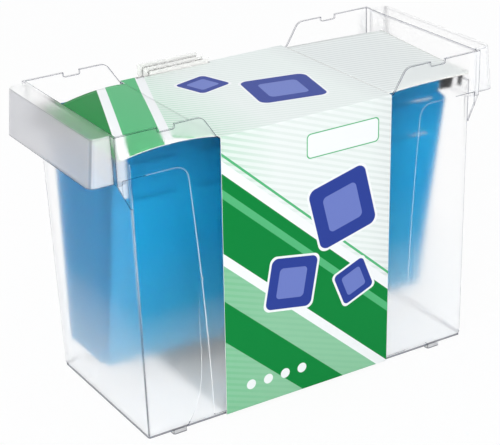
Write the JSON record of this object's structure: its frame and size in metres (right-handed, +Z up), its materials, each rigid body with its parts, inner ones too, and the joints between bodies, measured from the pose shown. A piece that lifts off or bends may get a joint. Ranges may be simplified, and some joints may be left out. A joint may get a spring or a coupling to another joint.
{
  "type": "hanging file box",
  "caption": "Clear box with a grip collar at each end; hanging files slide on its end rails under a card sleeve with fold-up top flaps and label tabs that lift out.",
  "frame": {"origin": "on the floor under the feet, midway between the grips and between the front and back walls", "axes": "+X from the left grip to the right grip, +Y from the front wall to the back wall, +Z up"},
  "size_m": [0.3924, 0.1733, 0.274],
  "materials": {
    "box": "frosted clear",
    "sleeve": "satin",
    "file_card": "matte",
    "file_bar": "satin",
    "file_hook": "semi gloss",
    "label_tab": "clear gloss",
    "label_paper": "matte"
  },
  "bodies": {
    "box_and_sleeve": {"box": "box", "sleeve_wrap": "sleeve"},
    "file_1": {"file_1_back_sheet": "file_card", "file_1_back_bar": "file_bar", "file_1_back_hooks": "file_hook"},
    "file_1_front": {"file_1_front_sheet": "file_card", "file_1_front_bar": "file_bar", "file_1_front_hooks": "file_hook"},
    "file_2": {"file_2_back_sheet": "file_card", "file_2_back_bar": "file_bar", "file_2_back_hooks": "file_hook"},
    "file_2_front": {"file_2_front_sheet": "file_card", "file_2_front_bar": "file_bar", "file_2_front_hooks": "file_hook"},
    "file_3": {"file_3_back_sheet": "file_card", "file_3_back_bar": "file_bar", "file_3_back_hooks": "file_hook"},
    "file_3_front": {"file_3_front_sheet": "file_card", "file_3_front_bar": "file_bar", "file_3_front_hooks": "file_hook"},
    "file_4": {"file_4_back_sheet": "file_card", "file_4_back_bar": "file_bar", "file_4_back_hooks": "file_hook"},
    "file_4_front": {"file_4_front_sheet": "file_card", "file_4_front_bar": "file_bar", "file_4_front_hooks": "file_hook"},
    "file_5": {"file_5_back_sheet": "file_card", "file_5_back_bar": "file_bar", "file_5_back_hooks": "file_hook"},
    "file_5_front": {"file_5_front_sheet": "file_card", "file_5_front_bar": "file_bar", "file_5_front_hooks": "file_hook"},
    "sleeve_left_wing": {"sleeve_left_wing": "sleeve"},
    "sleeve_right_wing": {"sleeve_right_wing": "sleeve"},
    "label_tab_1": {"label_tab_1": "label_tab", "label_insert_1": "label_paper"},
    "label_tab_2": {"label_tab_2": "label_tab", "label_insert_2": "label_paper"},
    "label_tab_3": {"label_tab_3": "label_tab", "label_insert_3": "label_paper"}
  },
  "joints": [
    {"name": "file_1_slide", "type": "slide", "parent": "box_and_sleeve", "child": "file_1", "axis": [0, 1, 0], "range_m": [-0.008, 0.0035]},
    {"name": "file_1_front_open", "type": "hinge", "parent": "file_1", "child": "file_1_front", "pos_m": [-0.00028, -0.03263, 0.03461], "axis": [0.9976, -0.0698, 0], "range_deg": [-12.5, 0]},
    {"name": "file_2_slide", "type": "slide", "parent": "box_and_sleeve", "child": "file_2", "axis": [0, 1, 0], "range_m": [-0.0035, 0.0045]},
    {"name": "file_2_front_open", "type": "hinge", "parent": "file_2", "child": "file_2_front", "pos_m": [0, 0.01587, 0.0294], "axis": [1, 0, 0], "range_deg": [0, 0.9]},
    {"name": "file_3_slide", "type": "slide", "parent": "box_and_sleeve", "child": "file_3", "axis": [0, 1, 0], "range_m": [-0.0045, 0.0045]},
    {"name": "file_3_front_open", "type": "hinge", "parent": "file_3", "child": "file_3_front", "pos_m": [0, 0.03099, 0.0294], "axis": [1, 0, 0], "range_deg": [0, 1.1]},
    {"name": "file_4_slide", "type": "slide", "parent": "box_and_sleeve", "child": "file_4", "axis": [0, 1, 0], "range_m": [-0.0045, 0.0045]},
    {"name": "file_4_front_open", "type": "hinge", "parent": "file_4", "child": "file_4_front", "pos_m": [0, 0.04649, 0.0294], "axis": [1, 0, 0], "range_deg": [0, 1.1]},
    {"name": "file_5_slide", "type": "slide", "parent": "box_and_sleeve", "child": "file_5", "axis": [0, 1, 0], "range_m": [-0.0045, 0.0055]},
    {"name": "file_5_front_open", "type": "hinge", "parent": "file_5", "child": "file_5_front", "pos_m": [0, 0.06199, 0.0294], "axis": [1, 0, 0], "range_deg": [0, 1.1]},
    {"name": "left_wing_fold", "type": "hinge", "parent": "box_and_sleeve", "child": "sleeve_left_wing", "pos_m": [-0.08265, 0, 0.25395], "axis": [0, 1, 0], "range_deg": [0, 95]},
    {"name": "right_wing_fold", "type": "hinge", "parent": "box_and_sleeve", "child": "sleeve_right_wing", "pos_m": [0.08265, 0, 0.25395], "axis": [0, -1, 0], "range_deg": [0, 95]},
    {"name": "label_tab_1_lift", "type": "slide", "parent": "box_and_sleeve", "child": "label_tab_1", "axis": [0, 0, 1], "range_m": [0, 0.022]},
    {"name": "label_tab_2_lift", "type": "slide", "parent": "box_and_sleeve", "child": "label_tab_2", "axis": [0, 0, 1], "range_m": [0, 0.022]},
    {"name": "label_tab_3_lift", "type": "slide", "parent": "box_and_sleeve", "child": "label_tab_3", "axis": [0, 0, 1], "range_m": [0, 0.022]}
  ]
}
